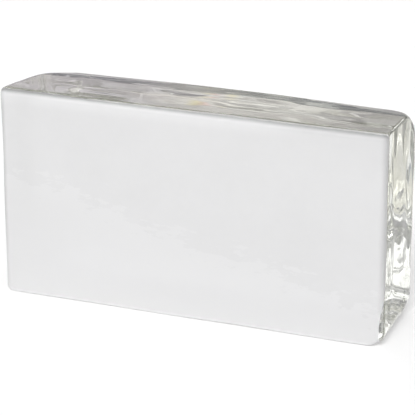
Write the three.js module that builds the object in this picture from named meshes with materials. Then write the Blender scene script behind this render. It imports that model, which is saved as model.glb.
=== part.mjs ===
// Solid clear glass block, cast in one piece and standing on its long narrow side.
// Millimetres. X runs along the block, Y from its flat front to its back, Z up.
// The origin is on the floor, under the middle of the block.
import * as THREE from "three";
import { LoftGeometry } from "three/addons/geometries/LoftGeometry.js";

// Size over all.
const length = 220;
const height = 118;
const thickness = 55;

// The front face meets the four narrow sides over a small edge radius.
const frontEdgeRadius = 4;

// At the back the hot glass has drawn in and rolled over, more on some sides than on others.
// Each roll is a quarter of an ellipse: depth along Y, and how far it draws the side in.
const backRoll = {
  right: { depth: 6, inset: 4 },
  top: { depth: 24, inset: 9 },
  left: { depth: 12, inset: 8 },
  bottom: { depth: 14, inset: 14 },
};

// The top's roll draws in less towards its middle, so that its back edge bows up by this much.
const topCrown = 4;

// Radius of the four long corners, where two narrow sides meet, at the front and at the back.
// In between it grows with this power of the depth: past 1, a corner stays sharp until far back.
const cornerRadius = {
  bottomRight: { front: 9, back: 10, power: 1 },
  topRight: { front: 3, back: 15, power: 3 },
  topLeft: { front: 3, back: 24, power: 1.5 },
  bottomLeft: { front: 4, back: 9, power: 1 },
};

// Facets.
const frontEdgeSteps = 6;
const bodySteps = 6;
const rollSteps = 18;
const cornerSteps = 10;
const topSteps = 12;

const frontY = -thickness / 2;
const backY = thickness / 2;

// How far a quarter ellipse of the given depth and inset has drawn in, at `along` into it.
function quarterEllipse(along, depth, inset) {
  const s = THREE.MathUtils.clamp(along / depth, 0, 1);
  return inset * (1 - Math.sqrt(1 - s * s));
}

// How far one side stands inside the full size at depth y.
function sideInset(side, y) {
  const { depth, inset } = backRoll[side];
  const front = quarterEllipse(frontY + frontEdgeRadius - y, frontEdgeRadius, frontEdgeRadius);
  const back = quarterEllipse(y - (backY - depth), depth, inset);
  return front + back;
}

// How much higher the top stands at x and y than it would without its crown.
function crownAt(x, y) {
  const { depth } = backRoll.top;
  const fromMiddle = (2 * x) / length;
  return quarterEllipse(y - (backY - depth), depth, topCrown) * (1 - fromMiddle ** 2);
}

function radiusAt(corner, y) {
  const { front, back, power } = cornerRadius[corner];
  const share = (y - frontY) / thickness;
  return THREE.MathUtils.lerp(front, back, share ** power);
}

// One cross-section: an oblong with four rounded corners, seen from behind the block.
// Its top is drawn in short steps, and the whole is stretched upwards by the crown.
function sectionAt(y) {
  const right = length / 2 - sideInset("right", y);
  const left = -length / 2 + sideInset("left", y);
  const top = height - sideInset("top", y);
  const bottom = sideInset("bottom", y);
  const corners = [
    { at: "topRight", x: right, z: top, sx: -1, sz: -1, turn: 0 },
    { at: "topLeft", x: left, z: top, sx: 1, sz: -1, turn: 1 },
    { at: "bottomLeft", x: left, z: bottom, sx: 1, sz: 1, turn: 2 },
    { at: "bottomRight", x: right, z: bottom, sx: -1, sz: 1, turn: 3 },
  ];
  const outline = new THREE.Path();
  for (const corner of corners) {
    const radius = radiusAt(corner.at, y);
    const start = (corner.turn * Math.PI) / 2;
    outline.absarc(
      corner.x + corner.sx * radius,
      corner.z + corner.sz * radius,
      radius,
      start,
      start + Math.PI / 2,
      false,
    );
    if (corner.at === "topRight") {
      const topStart = right - radius;
      const topEnd = left + radiusAt("topLeft", y);
      for (let i = 1; i < topSteps; i++) {
        outline.lineTo(THREE.MathUtils.lerp(topStart, topEnd, i / topSteps), top);
      }
    }
  }
  const points = outline.getPoints(cornerSteps / 2);
  return points.map((p) => new THREE.Vector3(p.x, y, p.y + (crownAt(p.x, y) * p.y) / height)).reverse();
}

// Depths of the sections, closer together where the surface turns.
function sectionDepths() {
  const depths = [];
  const deepestRoll = Math.max(...Object.values(backRoll).map((roll) => roll.depth));
  for (let i = 0; i < frontEdgeSteps; i++) {
    const angle = (i / frontEdgeSteps) * (Math.PI / 2);
    depths.push(frontY + frontEdgeRadius * (1 - Math.cos(angle)));
  }
  for (let i = 0; i < bodySteps; i++) {
    const from = frontY + frontEdgeRadius;
    depths.push(THREE.MathUtils.lerp(from, backY - deepestRoll, i / bodySteps));
  }
  for (let i = 0; i <= rollSteps; i++) {
    const angle = (i / rollSteps) * (Math.PI / 2);
    depths.push(backY - deepestRoll * (1 - Math.sin(angle)));
  }
  return depths;
}

function makeGlassBlock() {
  const sections = sectionDepths().map(sectionAt);
  const geometry = new LoftGeometry(sections, { capStart: true, capEnd: true });
  const material = new THREE.MeshStandardMaterial({
    color: 0xe9ece9,
    roughness: 0.04,
    metalness: 0,
  });
  const mesh = new THREE.Mesh(geometry, material);
  mesh.name = "glass_block";
  return mesh;
}

const part = new THREE.Group();
part.add(makeGlassBlock());

export default part;
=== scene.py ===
import math
import bpy
import numpy as np
from mathutils import Matrix, Vector


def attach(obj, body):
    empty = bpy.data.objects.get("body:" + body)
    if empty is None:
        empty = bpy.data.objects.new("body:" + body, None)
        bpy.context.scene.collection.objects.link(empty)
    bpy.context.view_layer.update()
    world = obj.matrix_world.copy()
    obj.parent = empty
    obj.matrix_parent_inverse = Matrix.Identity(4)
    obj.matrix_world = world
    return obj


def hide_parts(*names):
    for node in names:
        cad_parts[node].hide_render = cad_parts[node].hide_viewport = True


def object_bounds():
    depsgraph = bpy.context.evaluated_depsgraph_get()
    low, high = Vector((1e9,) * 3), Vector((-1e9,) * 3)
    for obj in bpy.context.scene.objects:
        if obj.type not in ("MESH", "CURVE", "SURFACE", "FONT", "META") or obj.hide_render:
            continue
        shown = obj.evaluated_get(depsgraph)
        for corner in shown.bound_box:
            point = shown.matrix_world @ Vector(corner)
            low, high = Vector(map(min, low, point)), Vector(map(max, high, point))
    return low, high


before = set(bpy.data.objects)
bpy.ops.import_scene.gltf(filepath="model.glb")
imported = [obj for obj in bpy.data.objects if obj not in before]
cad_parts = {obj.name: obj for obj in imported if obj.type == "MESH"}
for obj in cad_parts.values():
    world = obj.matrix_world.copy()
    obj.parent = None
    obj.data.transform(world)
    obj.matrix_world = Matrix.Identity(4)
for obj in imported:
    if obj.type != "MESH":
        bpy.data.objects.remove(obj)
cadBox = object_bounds()
print("frame loaded")

# camera: azimuth and elevation say where it stands, seen from the block; angles in degrees, lengths in
# metres, but the focal length in pixels of the frame and the sensor's width in millimetres
camera = {
    "azimuth": 21.63,
    "elevation": 20.68,
    "roll": -0.15,
    "distance": 1.2255,
    "focalPixels": 2257.0,
    "framePixels": 415,
    "sensorWidth": 36.0,
    "clip": (0.01, 50.0),
    "aimRight": 0.00065,
    "aimUp": -0.00441,
}


def towards(azimuth, elevation):
    # the direction in which something stands, seen from the block
    a, e = math.radians(azimuth), math.radians(elevation)
    return Vector((math.sin(a) * math.cos(e), -math.cos(a) * math.cos(e), math.sin(e)))


def addCamera():
    # orbits the middle of the block, then slides in its own plane so that the block sits in the frame
    back = towards(camera["azimuth"], camera["elevation"])
    turn = math.radians(camera["azimuth"])
    right = Vector((math.cos(turn), math.sin(turn), 0.0))
    up = back.cross(right)
    middle = Vector((0.0, 0.0, 0.5 * (cadBox[0][2] + cadBox[1][2])))
    place = middle + right * camera["aimRight"] + up * camera["aimUp"] + back * camera["distance"]
    data = bpy.data.cameras.new("camera")
    data.sensor_width = camera["sensorWidth"]
    data.lens = camera["focalPixels"] / camera["framePixels"] * data.sensor_width
    data.clip_start, data.clip_end = camera["clip"]
    ob = bpy.data.objects.new("camera", data)
    bpy.context.scene.collection.objects.link(ob)
    facing = Matrix((right, up, back)).transposed().to_4x4()
    roll = Matrix.Rotation(math.radians(camera["roll"]), 4, "Z")
    ob.matrix_world = Matrix.Translation(place) @ facing @ roll
    bpy.context.scene.camera = ob


addCamera()
print("camera placed")

# block: lengths in metres; the size over all comes from the frame
block = {
    "frontEdge": {"right": 0.004, "top": 0.004, "left": 0.004, "bottom": 0.0005},  # radius
    "backRoll": {  # depth, and how far the side draws in
        "right": (0.006, 0.004),
        "top": (0.004, 0.004),
        "left": (0.012, 0.008),
        "bottom": (0.014, 0.014),
    },
    "slopeDepth": 0.024,  # of the slope down to the back of the top
    "slopeDrop": 0.0051,  # at its two ends
    "slopePower": 1.5,
    "topCrown": 0.0019,  # less of a drop in its middle
    "cornerRadius": {  # at the front and at the back
        "bottomRight": (0.0065, 0.010),
        "topRight": (0.0018, 0.026),
        "topLeft": (0.003, 0.024),
        "bottomLeft": (0.0022, 0.009),
    },
    "cornerGrowth": {  # past one, a corner stays tight until far back
        "bottomRight": 1.0,
        "topRight": 8.0,
        "topLeft": 1.5,
        "bottomLeft": 1.0,
    },
    "cellsLong": 190,
    "cellsTall": 104,
    "cellsDeep": 30,
    "cellsArc": 8,
    "cellsFrontEdge": 9,
    "cellsRoll": 26,
    "waveLimit": 0.00022,
}

# how far the fire polished faces stray from flat: each set's longest and shortest wave from crest to crest,
# its stretch along x, y and z, and its height
waves = [
    {"seed": 34, "count": 14, "lengths": (0.070, 0.030), "stretch": (1.6, 1.0, 1.2), "height": 0.00012},
    {"seed": 628, "count": 18, "lengths": (0.024, 0.009), "stretch": (4.0, 1.0, 4.0), "height": 0.00009},
    {"seed": 673, "count": 24, "lengths": (0.014, 0.006), "stretch": (2.5, 1.0, 2.5), "height": 0.00003},
]


def quarterEllipse(along, depth, inset):
    # inset times one minus the root of one minus the squared share of the depth that is used up
    s = np.clip(along / depth, 0.0, 1.0)
    return inset * (1.0 - np.sqrt(np.maximum(1.0 - s * s, 0.0)))


def depthRows(low, high):
    # y of each ring: cosine steps over the front edge, even steps on the body, sine steps down the
    # deepest roll
    edge = max(block["frontEdge"].values())
    roll = max(depth for depth, inset in block["backRoll"].values())
    t = np.linspace(0.0, 1.0, block["cellsFrontEdge"], endpoint=False)
    front = low + edge * (1.0 - np.cos(t * np.pi / 2))
    t = np.linspace(0.0, 1.0, block["cellsDeep"], endpoint=False)
    body = low + edge + (high - roll - low - edge) * t
    t = np.linspace(0.0, 1.0, block["cellsRoll"] + 1)
    back = high - roll + roll * np.sin(t * np.pi / 2)
    return np.concatenate([front, body, back])


def slopeShare(y, high):
    # a power of the share of the way down the slope at the back of the top
    return np.clip((y - high[1]) / block["slopeDepth"] + 1.0, 0.0, 1.0) ** block["slopePower"]


def sideInset(side, y, low, high):
    # the front edge's quarter circle plus the back roll's quarter ellipse
    depth, amount = block["backRoll"][side]
    edge = block["frontEdge"][side]
    front = quarterEllipse(low[1] + edge - y, edge, edge)
    return front + quarterEllipse(y - (high[1] - depth), depth, amount)


def cornerRadius(corner, y, low, high):
    # from the front radius to the back one along a power of the share of the depth
    front, back = block["cornerRadius"][corner]
    share = (y - low[1]) / (high[1] - low[1])
    return front + (back - front) * share ** block["cornerGrowth"][corner]


def slopeDrop(x, y, low, high):
    # the slope's full drop, less a crown of one minus x squared, by the share of the way down
    fromMiddle = (2 * x - low[0] - high[0]) / (high[0] - low[0])
    return (block["slopeDrop"] - block["topCrown"] * (1 - fromMiddle**2)) * slopeShare(y, high)


def cornerArc(x, z, r, angles):
    # centre plus radius times cosine and sine, one row for each ring
    return x[:, None] + r[:, None] * np.cos(angles), z[:, None] + r[:, None] * np.sin(angles)


def ringPoints(y, low, high):
    # each ring is an oblong with four round corners, from the middle of the bottom left corner to the right,
    # up, left and down; each side is half of one corner's arc, an even run and half of the next one's arc,
    # and the slope then lowers every point by its share of the height
    xr = high[0] - sideInset("right", y, low, high)
    xl = low[0] + sideInset("left", y, low, high)
    zt = high[2] - sideInset("top", y, low, high)
    zb = low[2] + sideInset("bottom", y, low, high)
    corners = [  # the sides that meet there, the way to the arc's centre, and the angle of the arc's middle
        ("bottomLeft", xl, zb, 1, 1, 225),
        ("bottomRight", xr, zb, -1, 1, 315),
        ("topRight", xr, zt, -1, -1, 405),
        ("topLeft", xl, zt, 1, -1, 495),
    ]
    arcs = []
    for name, x, z, sx, sz, middle in corners:
        r = cornerRadius(name, y, low, high)
        arcs.append((x + sx * r, z + sz * r, r, middle))
    t = np.linspace(0.0, 45.0, block["cellsArc"] + 1)
    xs, zs = [], []
    for i, (x, z, r, middle) in enumerate(arcs):
        nextX, nextZ, nextR, nextMiddle = arcs[(i + 1) % 4]
        ax, az = cornerArc(x, z, r, np.radians(middle + t))
        bx, bz = cornerArc(nextX, nextZ, nextR, np.radians(nextMiddle - t[::-1]))
        cells = block["cellsLong"] if i % 2 == 0 else block["cellsTall"]
        share = np.linspace(0.0, 1.0, cells - 2 * block["cellsArc"] + 1)[1:-1]
        mx = ax[:, -1:] * (1 - share) + bx[:, :1] * share
        mz = az[:, -1:] * (1 - share) + bz[:, :1] * share
        xs += [ax, mx, bx[:, :-1]]
        zs += [az, mz, bz[:, :-1]]
    x = np.concatenate(xs, axis=1)
    z = np.concatenate(zs, axis=1)
    y = np.repeat(y[:, None], x.shape[1], axis=1)
    z = z - slopeDrop(x, y, low, high) * (z - low[2]) / (high[2] - low[2])
    return np.stack([x, y, z], axis=-1)


def capPoints(ring):
    # Coons patch: the blend of the two long sides plus the blend of the two short sides,
    # less the blend of the four corners; the shares follow the sides' own spacing
    nx, nz = block["cellsLong"], block["cellsTall"]
    closed = np.concatenate([ring, ring[:1]])
    bottom = closed[: nx + 1]
    right = closed[nx : nx + nz + 1]
    top = closed[nx + nz : 2 * nx + nz + 1][::-1]
    left = closed[2 * nx + nz :][::-1]
    u = ((bottom[:, 0] - bottom[0, 0]) / (bottom[-1, 0] - bottom[0, 0]))[:, None, None]
    v = ((right[:, 2] - right[0, 2]) / (right[-1, 2] - right[0, 2]))[None, :, None]
    sides = (1 - v) * bottom[:, None] + v * top[:, None] + (1 - u) * left[None] + u * right[None]
    corners = (1 - u) * ((1 - v) * bottom[0] + v * top[0]) + u * ((1 - v) * bottom[-1] + v * top[-1])
    return sides - corners


def gridFaces(ids):
    # four corners of each cell of a grid of vertex numbers
    return np.stack([ids[:-1, :-1], ids[1:, :-1], ids[1:, 1:], ids[:-1, 1:]], axis=-1).reshape(-1, 4)


def outwardNormals(points, faces):
    # the sum of the faces' own normals at each vertex, made one long
    a, b, c, d = (points[faces[:, i]] for i in range(4))
    normal = np.cross(c - a, d - b)
    total = np.zeros_like(points)
    for i in range(4):
        np.add.at(total, faces[:, i], normal)
    return total / np.linalg.norm(total, axis=1)[:, None]


def waveHeights(points):
    # for each set a sum of sines in seeded directions, each as high as its length is long, brought to the
    # set's height
    total = np.zeros(len(points))
    for w in waves:
        rng = np.random.default_rng(w["seed"])
        direction = rng.normal(size=(w["count"], 3))
        direction /= np.linalg.norm(direction, axis=1)[:, None]
        longest, shortest = w["lengths"]
        length = longest * (shortest / longest) ** rng.random(w["count"])
        turns = direction / length[:, None] / np.array(w["stretch"])
        phase = rng.random(w["count"])
        share = length / np.sqrt((length**2).sum() / 2)
        total += w["height"] * np.sin(2 * np.pi * (points @ turns.T + phase)) @ share
    return total


# the hollow just under the front's top edge, with a faint fold at its foot; lengths in metres, and it fades
# out to the right between the two x of fade
hollow = {
    "depth": 0.00018,
    "reachLeft": 0.0105,  # from the top down to its foot
    "reachRight": 0.0065,
    "fade": (0.020, 0.070),
    "fold": 0.00003,
    "foldWidth": 0.0010,
}


def smoothStep(v, start, end):
    # three squares less two cubes of the share of the way from start to end
    t = np.clip((v - start) / (end - start), 0.0, 1.0)
    return t * t * (3.0 - 2.0 * t)


def hollowDepth(points, low, high):
    # a smooth step up the face from the fold to the edge, less a bell shaped fold; it fades out along x, and
    # backwards over the edge radius
    x, y, z = points.T
    along = (x - low[0]) / (high[0] - low[0])
    foot = high[2] - hollow["reachLeft"] + (hollow["reachLeft"] - hollow["reachRight"]) * along
    edge = block["frontEdge"]["top"]
    step = hollow["depth"] * smoothStep(z, foot, high[2] - edge / 2)
    fold = hollow["fold"] * np.exp(-(((z - foot) / hollow["foldWidth"]) ** 2))
    fade = (1.0 - smoothStep(x, *hollow["fade"])) * (1.0 - smoothStep(y, low[1], low[1] + edge))
    return (step - fold) * fade


def makeBlock():
    # a tube of rings through the depth, closed by a patch at each end; then each point goes in along its
    # normal, by the limit less its wave, which the hyperbolic tangent keeps within the limit
    low, high = np.array(cadBox[0]), np.array(cadBox[1])
    rings = ringPoints(depthRows(low[1], high[1]), low, high)
    rows, around = rings.shape[:2]
    ids = np.arange(rows * around).reshape(rows, around)
    points = [rings.reshape(-1, 3)]
    faces = [gridFaces(np.concatenate([ids, ids[:, :1]], axis=1))]
    nx, nz = block["cellsLong"], block["cellsTall"]
    inner = (nx - 1) * (nz - 1)
    for count, row in enumerate((0, rows - 1)):
        edge = np.concatenate([ids[row], ids[row, :1]])
        capIds = np.empty((nx + 1, nz + 1), int)
        capIds[:, 0] = edge[: nx + 1]
        capIds[-1, :] = edge[nx : nx + nz + 1]
        capIds[:, -1] = edge[nx + nz : 2 * nx + nz + 1][::-1]
        capIds[0, :] = edge[2 * nx + nz :][::-1]
        capIds[1:-1, 1:-1] = rows * around + count * inner + np.arange(inner).reshape(nx - 1, nz - 1)
        points.append(capPoints(rings[row])[1:-1, 1:-1].reshape(-1, 3))
        quads = gridFaces(capIds)
        faces.append(quads if row == 0 else quads[:, ::-1])
    points = np.concatenate(points)
    faces = np.concatenate(faces)
    rise = block["waveLimit"] * (np.tanh(waveHeights(points) / block["waveLimit"]) - 1)
    points = points + outwardNormals(points, faces) * rise[:, None]
    points[:, 1] += hollowDepth(points, low, high)
    mesh = bpy.data.meshes.new("glassBody")
    mesh.from_pydata(points.tolist(), [], faces.tolist())
    mesh.polygons.foreach_set("use_smooth", np.ones(len(faces), bool))
    mesh.update()
    return mesh


mesh = makeBlock()
glassBody = bpy.data.objects.new("glassBody", mesh)
bpy.context.scene.collection.objects.link(glassBody)
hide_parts("glass_block")
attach(glassBody, "root")
print("block built,", len(mesh.polygons) * 2, "triangles")

# glass: clear all over, with satin only on the outside of the front; lengths in metres, tones from 0 to 1
glass = {
    "ior": 1.52,
    "tint": (0.425, 0.455, 0.30),
    "density": 1.4,
    # satin: full in front of the y of satinFull and gone behind that of satinEnd, and sooner where the edge
    # faces up, by the first lean at the left end of leanRun and by the second at its right end
    "satinFull": -0.0246,
    "satinEnd": -0.0238,
    "satinLean": (0.0010, 0.0015),
    "leanRun": (-0.104, -0.080),
    "satinStray": 0.0003,
    "strayScale": 140.0,
    "strayDetail": 3.0,
    # its right border, with a bell shaped bite low down that leaves the glass clear
    "satinRight": 0.1128,
    "satinFade": 0.0008,
    "biteReach": 0.0047,
    "biteHeight": 0.0060,
    "biteWidth": 0.0320,
    "satinRough": 0.6,
    "haze": 0.85,
    # its tone at the foot, made paler there as painted light, and from plainHeight up; then the painted
    # shade towards the two sides, which grows across the two |x| that follow, and from nothing to its full
    # drop between the two z given last
    "footPaintedLightTone": 0.820,
    "plainTone": 0.780,
    "plainHeight": 0.060,
    "blueShare": 1.006,
    "sideShadeDrop": 0.13,
    "sideShadeStart": 0.1060,
    "sideShadeEnd": 0.1098,
    "sideShadeFoot": (0.015, 0.050),
    # further painted shades, each growing along x and along z to its full drop; a drop below zero is a
    # painted light instead, and an x that starts left of the block makes it as wide as the block
    "shades": [
        # painted shade along the whole top edge
        {"x": (-0.200, -0.150), "z": (0.1150, 0.1176), "drop": 0.36},
        # painted shade under the top edge, full left of the middle
        {"x": (0.040, -0.010), "z": (0.1156, 0.1174), "drop": 0.10},
        # painted shade under the top edge at the right
        {"x": (0.030, 0.070), "z": (0.1125, 0.1155), "drop": 0.04},
        # a faint painted shade over the upper right of the front
        {"x": (0.020, 0.070), "z": (0.090, 0.112), "drop": 0.018},
        # painted highlight: a pale band under the top edge, fading out to the right
        {"x": (0.070, 0.030), "z": (0.1080, 0.1135), "drop": -0.035},
        # painted light along the foot, over its lowest 2 mm
        {"x": (-0.200, -0.150), "z": (0.0020, 0.0), "drop": -0.12},
    ],
    # above the shore, a ragged line that falls to the right, the satin is clouded and a shade darker
    "cloudDrop": (0.015, 0.041),
    "cloudScale": 28.0,
    "cloudDetail": 6.0,
    "cloudRoughness": 0.75,
    "shoreHeight": 0.0460,
    "shoreSlope": 0.235,
    "shoreFade": 0.0005,
    "shoreStray": 0.0190,
    "shoreScale": 62.0,
    "shoreStretch": (1.0, 1.0, 2.6),
    "shoreDetail": 6.0,
    "shoreRoughness": 0.70,
}


def addNode(nodes, kind, **settings):
    # a new node with these settings
    node = nodes.new(kind)
    for name, value in settings.items():
        setattr(node, name, value)
    return node


def feed(links, socket, value):
    # a socket takes another socket's output or a plain number
    if isinstance(value, bpy.types.NodeSocket):
        links.new(value, socket)
    else:
        socket.default_value = value


def calc(nodes, links, operation, *values):
    # one sum, product or other step of arithmetic on sockets and plain numbers
    node = addNode(nodes, "ShaderNodeMath", operation=operation)
    for socket, value in zip(node.inputs, values):
        feed(links, socket, value)
    return node.outputs[0]


def ramp(nodes, links, value, start, end, low=0.0, high=1.0, shape="SMOOTHSTEP"):
    # from low to high as the value goes from start to end
    node = addNode(nodes, "ShaderNodeMapRange", interpolation_type=shape)
    names = ("Value", "From Min", "From Max", "To Min", "To Max")
    for name, number in zip(names, (value, start, end, low, high)):
        feed(links, node.inputs[name], number)
    return node.outputs[0]


def blend(nodes, links, share, first, second):
    # from the first colour to the second by share
    node = addNode(nodes, "ShaderNodeMix", data_type="RGBA")
    for name, value in zip(("Factor", "A", "B"), (share, first, second)):
        feed(links, next(i for i in node.inputs if i.name == name and i.enabled), value)
    return next(o for o in node.outputs if o.enabled)


def noise(nodes, links, place, scale, detail, roughness=0.5):
    # the noise texture keeps near a half, so four times it less two runs from about minus one to one
    node = addNode(nodes, "ShaderNodeTexNoise")
    node.inputs["Scale"].default_value = scale
    node.inputs["Detail"].default_value = detail
    node.inputs["Roughness"].default_value = roughness
    links.new(place, node.inputs["Vector"])
    return calc(nodes, links, "MULTIPLY_ADD", node.outputs[0], 4.0, -2.0)


def makeSatin(nodes, links, places, x, y, z):
    # the satin's share: one on the outside of the front, nought elsewhere, with strayed borders
    facing = addNode(nodes, "ShaderNodeSeparateXYZ")
    links.new(places.outputs["Normal"], facing.inputs[0])
    upward = calc(nodes, links, "MAXIMUM", facing.outputs[2], 0.0)
    stray = noise(nodes, links, places.outputs["Object"], glass["strayScale"], glass["strayDetail"])
    lean = ramp(nodes, links, x, *glass["leanRun"], *glass["satinLean"])
    depth = calc(nodes, links, "MULTIPLY_ADD", upward, lean, y)
    depth = calc(nodes, links, "MULTIPLY_ADD", stray, glass["satinStray"], depth)
    back = ramp(nodes, links, depth, glass["satinEnd"], glass["satinFull"])
    # the bell is e to the minus square of the way from its height over its width
    away = calc(nodes, links, "SUBTRACT", z, glass["biteHeight"])
    away = calc(nodes, links, "DIVIDE", away, glass["biteWidth"])
    square = calc(nodes, links, "MULTIPLY", away, away)
    bell = calc(nodes, links, "EXPONENT", calc(nodes, links, "MULTIPLY", square, -1.0))
    across = calc(nodes, links, "MULTIPLY_ADD", bell, glass["biteReach"], x)
    across = calc(nodes, links, "MULTIPLY_ADD", stray, glass["satinStray"], across)
    side = ramp(nodes, links, across, glass["satinRight"], glass["satinRight"] - glass["satinFade"])
    inside = addNode(nodes, "ShaderNodeNewGeometry").outputs["Backfacing"]
    satin = calc(nodes, links, "SUBTRACT", 1.0, inside)
    for share in (back, side):
        satin = calc(nodes, links, "MULTIPLY", satin, share)
    return satin


def makeTone(nodes, links, places, x, z):
    # the satin's tone: from the painted light at the foot to plain, less the clouds above the shore, the
    # painted shade at the two sides and the painted shades and highlights
    place = places.outputs["Object"]
    cloud = noise(nodes, links, place, glass["cloudScale"], glass["cloudDetail"], glass["cloudRoughness"])
    stretched = addNode(nodes, "ShaderNodeVectorMath", operation="MULTIPLY")
    stretched.inputs[1].default_value = glass["shoreStretch"]
    links.new(place, stretched.inputs[0])
    place = stretched.outputs[0]
    ragged = noise(nodes, links, place, glass["shoreScale"], glass["shoreDetail"], glass["shoreRoughness"])
    shore = calc(nodes, links, "MULTIPLY_ADD", x, glass["shoreSlope"], z)
    shore = calc(nodes, links, "MULTIPLY_ADD", ragged, glass["shoreStray"], shore)
    height, fade = glass["shoreHeight"], glass["shoreFade"]
    above = ramp(nodes, links, shore, height - fade, height + fade)
    clouded = ramp(nodes, links, cloud, -1.0, 1.0, *glass["cloudDrop"])
    # painted light: the tone is paler towards the foot
    tone = ramp(nodes, links, z, 0.0, glass["plainHeight"], glass["footPaintedLightTone"], glass["plainTone"])
    tone = calc(nodes, links, "SUBTRACT", tone, calc(nodes, links, "MULTIPLY", above, clouded))
    # painted shade towards the two sides
    beside = calc(nodes, links, "ABSOLUTE", x)
    beside = ramp(nodes, links, beside, glass["sideShadeStart"], glass["sideShadeEnd"])
    rise = ramp(nodes, links, z, *glass["sideShadeFoot"], 0.0, glass["sideShadeDrop"])
    tone = calc(nodes, links, "SUBTRACT", tone, calc(nodes, links, "MULTIPLY", beside, rise))
    # the painted shades and highlights under the top edge and along the foot
    for shade in glass["shades"]:
        along = ramp(nodes, links, x, *shade["x"])
        rise = ramp(nodes, links, z, *shade["z"], 0.0, shade["drop"])
        tone = calc(nodes, links, "SUBTRACT", tone, calc(nodes, links, "MULTIPLY", along, rise))
    return tone


def makeGlass():
    # clear glass that takes up a little light on its way; the satin is rough, lets little through and has
    # a tone of its own, with painted light and shade in it
    mat = bpy.data.materials.new("clearGlass")
    mat.use_nodes = True
    nodes, links = mat.node_tree.nodes, mat.node_tree.links
    bsdf = nodes["Principled BSDF"]
    bsdf.inputs["IOR"].default_value = glass["ior"]

    places = addNode(nodes, "ShaderNodeTexCoord")
    axes = addNode(nodes, "ShaderNodeSeparateXYZ")
    links.new(places.outputs["Object"], axes.inputs[0])
    x, y, z = axes.outputs
    satin = makeSatin(nodes, links, places, x, y, z)
    tone = makeTone(nodes, links, places, x, z)

    rough = calc(nodes, links, "MULTIPLY", satin, glass["satinRough"])
    feed(links, bsdf.inputs["Roughness"], rough)
    through = calc(nodes, links, "MULTIPLY_ADD", satin, -glass["haze"], 1.0)
    feed(links, bsdf.inputs["Transmission Weight"], through)
    haze = addNode(nodes, "ShaderNodeCombineColor")
    for channel in ("Red", "Green"):
        feed(links, haze.inputs[channel], tone)
    feed(links, haze.inputs["Blue"], calc(nodes, links, "MULTIPLY", tone, glass["blueShare"]))
    color = blend(nodes, links, satin, (1, 1, 1, 1), haze.outputs[0])
    feed(links, bsdf.inputs["Base Color"], color)

    volume = addNode(nodes, "ShaderNodeVolumeAbsorption")
    volume.inputs["Color"].default_value = (*glass["tint"], 1)
    volume.inputs["Density"].default_value = glass["density"]
    links.new(volume.outputs[0], nodes["Material Output"].inputs["Volume"])
    return mat


mesh.materials.append(makeGlass())
print("glass ready")

# studio: a pale paper floor with a gap under the block, and a soft key light; the lift is extra white that is
# only seen; lengths in metres, angles in degrees
studio = {
    "floorSize": 8.0,
    "floorColor": 0.70,
    "gap": 0.0003,
    "lift": 0.32,
    "keyAzimuth": 10.0,
    "keyElevation": 48.0,
    "keySpread": 30.0,
    "keyStrength": 2.2,
    "keyDistance": 2.0,
    "bounces": 24,
}

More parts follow.
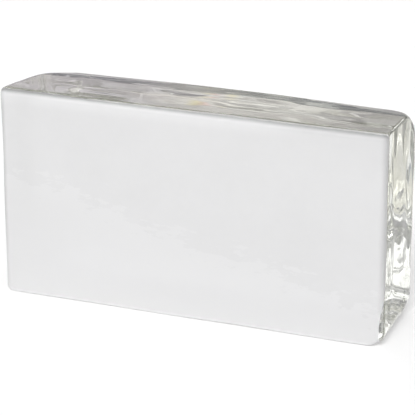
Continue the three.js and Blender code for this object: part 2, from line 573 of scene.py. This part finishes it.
# sheets on the floor that only the glass shows, whose tones stand in for what it sees round and under the
# block: painted shadow, painted light and painted glints close by, and further greys beside and behind it;
# the two x and the two y that each lies between, in metres, and its colour, or its colours from left to right
# with the x of each
sheets = {
    # painted shadow on the floor under the block, paler where painted light comes through it
    "underShadow": {
        "x": (-0.112, 0.104),
        "y": (-0.0185, 0.016),
        "colors": [
            (-0.098, (0.75, 0.73, 0.76)),
            (-0.070, (0.66, 0.645, 0.67)),
            (-0.040, (0.74, 0.73, 0.69)),
            (-0.007, (0.70, 0.69, 0.64)),
            (0.025, (0.75, 0.74, 0.69)),
            (0.052, (0.46, 0.455, 0.42)),
            (0.088, (0.37, 0.375, 0.345)),
        ],
    },
    # painted glints and bright streaks, warm and pale, on the floor under the block's front
    "glintStrip": {
        "x": (-0.112, 0.104),
        "y": (-0.0215, -0.0185),
        "colors": [
            (-0.098, (0.42, 0.41, 0.41)),
            (-0.070, (0.72, 0.70, 0.71)),
            (-0.042, (0.93, 0.92, 0.86)),
            (-0.036, (0.97, 0.90, 0.55)),
            (-0.030, (0.94, 0.66, 0.60)),
            (-0.025, (0.93, 0.93, 0.90)),
            (-0.020, (0.97, 0.90, 0.58)),
            (-0.014, (0.86, 0.90, 0.88)),
            (0.000, (0.90, 0.90, 0.81)),
            (0.025, (0.86, 0.86, 0.79)),
            (0.052, (0.63, 0.64, 0.56)),
            (0.088, (0.17, 0.18, 0.16)),
        ],
    },
    # painted light and shade on the floor under the rounded front edge
    "underEdgeLightShade": {
        "x": (-0.112, 0.104),
        "y": (-0.0275, -0.0215),
        "colors": [
            (-0.098, (0.50, 0.48, 0.50)),
            (-0.070, (0.64, 0.61, 0.61)),
            (-0.040, (0.78, 0.75, 0.67)),
            (-0.007, (0.64, 0.64, 0.58)),
            (0.025, (0.54, 0.545, 0.505)),
            (0.052, (0.32, 0.32, 0.30)),
            (0.088, (0.40, 0.40, 0.37)),
        ],
    },
    # painted shade on the floor just in front of the block, with a warm painted glint
    "frontShade": {
        "x": (-0.112, 0.104),
        "y": (-0.040, -0.0275),
        "colors": [
            (-0.085, (0.56, 0.55, 0.54)),
            (-0.045, (0.60, 0.54, 0.42)),
            (-0.022, (0.39, 0.39, 0.36)),
            (0.040, (0.53, 0.53, 0.49)),
        ],
    },
    # painted shadow of the block on the floor to its left
    "leftShadow": {
        "x": (-0.150, -0.114),
        "y": (-0.220, -0.035),
        "colors": [
            (-0.150, (0.48, 0.475, 0.45)),
            (-0.132, (0.58, 0.57, 0.51)),
            (-0.118, (0.68, 0.66, 0.585)),
        ],
    },
    # painted shadow beside the foot of the left end, near black away from a pale strip next to it
    "shade": {
        "x": (-0.150, -0.113),
        "y": (-0.035, -0.010),
        "colors": [(-0.127, (0.06, 0.06, 0.065)), (-0.121, (0.60, 0.59, 0.52))],
    },
    # painted light on the floor beside the right end, where the block's shade falls
    "rightLight": {
        "x": (0.104, 0.114),
        "y": (-0.0275, 0.020),
        "color": (0.97, 0.97, 0.95),
    },
    "farCard": {
        "x": (-0.240, -0.150),
        "y": (-0.220, -0.100),
        "color": (0.60, 0.59, 0.55),
    },
    "darkCard": {
        "x": (-0.175, -0.150),
        "y": (-0.100, -0.035),
        "color": (0.15, 0.17, 0.20),
    },
    "backCard": {
        "x": (-0.175, -0.113),
        "y": (-0.010, 0.092),
        "color": (0.07, 0.07, 0.075),
    },
    "distance": {
        "x": (-3.9, 3.9),
        "y": (0.6, 3.9),
        "color": (0.34, 0.33, 0.34),
    },
}

# room: the light low down in front and behind, then steps, each between two heights in degrees to new light;
# the back takes over from the front between the two y of turn; a screen is full within the smaller angle of
# its fade from its middle, and gone past the larger one
room = {
    "front": (0.55, 0.55, 0.55),
    "frontSteps": [(38.0, 46.0, (0.20, 0.20, 0.21))],
    "back": (0.16, 0.16, 0.20),
    "backSteps": [
        (9.5, 13.5, (0.83, 0.77, 0.80)),
        (22.0, 26.0, (0.43, 0.40, 0.385)),
        (38.0, 46.0, (0.60, 0.60, 0.56)),
    ],
    "turn": (0.1, 0.6),
    "screens": [
        {"azimuth": 160.0, "elevation": 20.5, "fade": (7.0, 4.0), "color": (4.6, 4.6, 4.6)},
        {"azimuth": -17.0, "elevation": 29.0, "fade": (15.0, 10.0), "color": (1.55, 1.55, 1.55)},
        {"azimuth": -122.0, "elevation": 34.0, "fade": (25.0, 17.0), "color": (1.4, 1.4, 1.4)},
    ],
}


def seenLift(nodes, links):
    # extra white for rays from the camera and for those that glass reflects or lets through
    path = addNode(nodes, "ShaderNodeLightPath").outputs
    inGlass = calc(nodes, links, "MAXIMUM", path["Is Glossy Ray"], path["Is Transmission Ray"])
    seen = calc(nodes, links, "MAXIMUM", path["Is Camera Ray"], inGlass)
    return calc(nodes, links, "MULTIPLY", seen, studio["lift"])


def addSheet(name, xRange, yRange, height, colors):
    # a level matt sheet, coloured along x: the paper floor, or one of the sheets with its painted shadow,
    # light and glints or its greys; the lift is as strong as its colour is beside the floor's
    data = bpy.data.meshes.new(name)
    (x0, x1), (y0, y1) = xRange, yRange
    corners = [(x0, y0, height), (x1, y0, height), (x1, y1, height), (x0, y1, height)]
    data.from_pydata(corners, [], [(0, 1, 2, 3)])
    sheet = bpy.data.objects.new(name, data)
    bpy.context.scene.collection.objects.link(sheet)
    mat = bpy.data.materials.new(name + "Paper")
    mat.use_nodes = True
    nodes, links = mat.node_tree.nodes, mat.node_tree.links
    bsdf = nodes["Principled BSDF"]
    bsdf.inputs["Roughness"].default_value = 1.0
    bsdf.inputs["Specular IOR Level"].default_value = 0.0
    axes = addNode(nodes, "ShaderNodeSeparateXYZ")
    links.new(addNode(nodes, "ShaderNodeTexCoord").outputs["Object"], axes.inputs[0])
    paint = addNode(nodes, "ShaderNodeValToRGB")
    stops = paint.color_ramp.elements
    for count, (x, color) in enumerate(colors):
        stop = stops[count] if count < 2 else stops.new(1.0)
        stop.position = (x - x0) / (x1 - x0)
        stop.color = (*color, 1)
    links.new(ramp(nodes, links, axes.outputs["X"], x0, x1, shape="LINEAR"), paint.inputs[0])
    links.new(paint.outputs["Color"], bsdf.inputs["Base Color"])
    links.new(paint.outputs["Color"], bsdf.inputs["Emission Color"])
    lift = calc(nodes, links, "DIVIDE", seenLift(nodes, links), studio["floorColor"])
    links.new(lift, bsdf.inputs["Emission Strength"])
    data.materials.append(mat)
    return sheet


def makeFloor():
    # the floor lies a gap below the block, and the sheets lie in the middle of that gap
    side = (-studio["floorSize"] / 2, studio["floorSize"] / 2)
    ground = cadBox[0][2] - studio["gap"]
    plain = (studio["floorColor"],) * 3
    addSheet("floor", side, side, ground, [(x, plain) for x in side])
    for name, sheetSpec in sheets.items():
        colors = sheetSpec.get("colors") or [(x, sheetSpec["color"]) for x in sheetSpec["x"]]
        sheet = addSheet(name, sheetSpec["x"], sheetSpec["y"], ground + studio["gap"] / 2, colors)
        sheet.visible_camera = sheet.visible_diffuse = sheet.visible_shadow = False


def makeWorld():
    # levels step by the sine of the height, the back takes over from the front by y, and a screen is a round
    # patch, by the cosine of the angle from its middle
    world = bpy.data.worlds.new("studio")
    world.use_nodes = True
    nodes, links = world.node_tree.nodes, world.node_tree.links
    places = addNode(nodes, "ShaderNodeTexCoord")
    axes = addNode(nodes, "ShaderNodeSeparateXYZ")
    links.new(places.outputs["Generated"], axes.inputs[0])

    def steppedLight(light, steps):
        # each step goes from the light below it to its own between its two heights
        for start, end, after in steps:
            low, high = (math.sin(math.radians(angle)) for angle in (start, end))
            share = ramp(nodes, links, axes.outputs["Z"], low, high)
            light = blend(nodes, links, share, light, (*after, 1))
        return light

    front = steppedLight((*room["front"], 1), room["frontSteps"])
    back = steppedLight((*room["back"], 1), room["backSteps"])
    behind = ramp(nodes, links, axes.outputs["Y"], *room["turn"])
    light = blend(nodes, links, behind, front, back)
    for screen in room["screens"]:
        facing = addNode(nodes, "ShaderNodeVectorMath", operation="DOT_PRODUCT")
        facing.inputs[1].default_value = towards(screen["azimuth"], screen["elevation"])
        links.new(places.outputs["Generated"], facing.inputs[0])
        edge, full = (math.cos(math.radians(angle)) for angle in screen["fade"])
        share = ramp(nodes, links, facing.outputs["Value"], edge, full)
        light = blend(nodes, links, share, light, (*screen["color"], 1))
    feed(links, nodes["Background"].inputs["Color"], light)
    bpy.context.scene.world = world


def addKey():
    # a wide soft sun that lights the satin and the floor and isn't mirrored by the clear glass
    data = bpy.data.lights.new("key", "SUN")
    data.angle = math.radians(studio["keySpread"])
    data.energy = studio["keyStrength"]
    ob = bpy.data.objects.new("key", data)
    bpy.context.scene.collection.objects.link(ob)
    toward = towards(studio["keyAzimuth"], studio["keyElevation"])
    ob.location = toward * studio["keyDistance"]
    ob.visible_glossy = False
    ob.visible_transmission = False
    ob.rotation_euler = (-toward).to_track_quat("-Z", "Y").to_euler()


makeFloor()
makeWorld()
addKey()
bpy.context.scene.view_settings.view_transform = "Standard"
bpy.context.scene.cycles.max_bounces = studio["bounces"]
bpy.context.scene.cycles.transmission_bounces = studio["bounces"]
bpy.context.scene.cycles.glossy_bounces = studio["bounces"]
print("studio ready")
